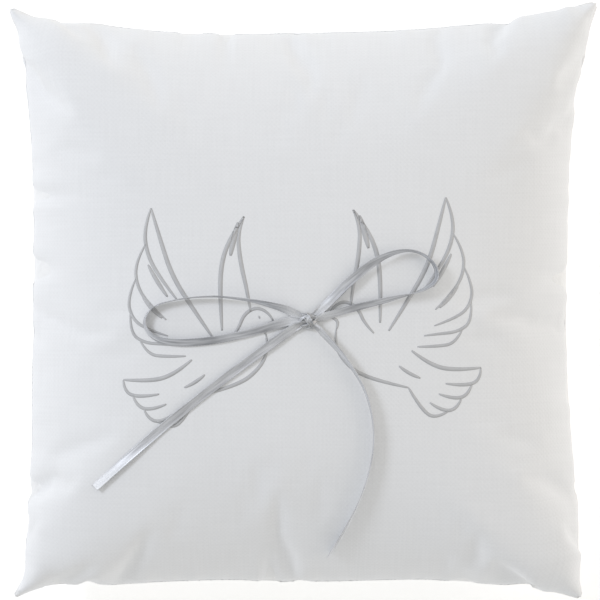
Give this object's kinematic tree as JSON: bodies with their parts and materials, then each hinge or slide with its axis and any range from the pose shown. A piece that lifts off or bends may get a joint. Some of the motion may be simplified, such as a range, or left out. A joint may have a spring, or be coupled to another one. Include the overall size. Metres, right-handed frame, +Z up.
{
  "type": "ring bearer pillow",
  "caption": "Small square filled pillow with a printed front and a tied bow of narrow ribbon tacked at its middle, for carrying wedding rings.",
  "frame": {"origin": "under the middle of the pillow, on the surface that its back rests on", "axes": "+X to the right of the front and +Y to its head, seen from above the front; +Z up through the front"},
  "size_m": [0.2, 0.2024, 0.0628],
  "materials": {
    "pillow_cloth": "white plain-weave polycotton, matt, with a silver-grey pigment print on the front",
    "dove_print": "silver-grey pigment print on the front cloth, matt with a faint pearl sheen",
    "fibre_filling": "loose white polyester fibre",
    "sewing_thread": "white spun polyester sewing thread",
    "tacking_thread": "grey spun polyester sewing thread",
    "satin_ribbon": "double-faced polyester satin ribbon, silver grey, with a soft directional sheen and woven edges"
  },
  "bodies": {
    "pillow": {"front_panel": "pillow_cloth", "back_panel": "pillow_cloth", "filling": "fibre_filling", "seam_needle_thread": "sewing_thread", "seam_bobbin_thread": "sewing_thread", "closing_stitches": "sewing_thread", "knot_tacking": "tacking_thread", "ribbon_knot": "satin_ribbon"},
    "left_loop": {"ribbon_left_loop": "satin_ribbon"},
    "right_loop": {"ribbon_right_loop": "satin_ribbon"},
    "left_tail": {"ribbon_left_tail": "satin_ribbon"},
    "right_tail": {"ribbon_right_tail": "satin_ribbon"}
  },
  "joints": [
    {"name": "left_loop_lift", "type": "hinge", "parent": "pillow", "child": "left_loop", "pos_m": [-0.0072, -0.004, 0.0603], "axis": [0, 1, 0], "range_deg": [0, 50]},
    {"name": "right_loop_lift", "type": "hinge", "parent": "pillow", "child": "right_loop", "pos_m": [0.008, -0.0026, 0.0603], "axis": [0, -1, 0], "range_deg": [0, 50]},
    {"name": "left_tail_lift", "type": "hinge", "parent": "pillow", "child": "left_tail", "pos_m": [-0.006, -0.0103, 0.0602], "axis": [-0.6286, 0.7778, 0], "range_deg": [0, 75]},
    {"name": "right_tail_lift", "type": "hinge", "parent": "pillow", "child": "right_tail", "pos_m": [0.0064, -0.0108, 0.0602], "axis": [-1, 0, 0], "range_deg": [0, 75]}
  ]
}
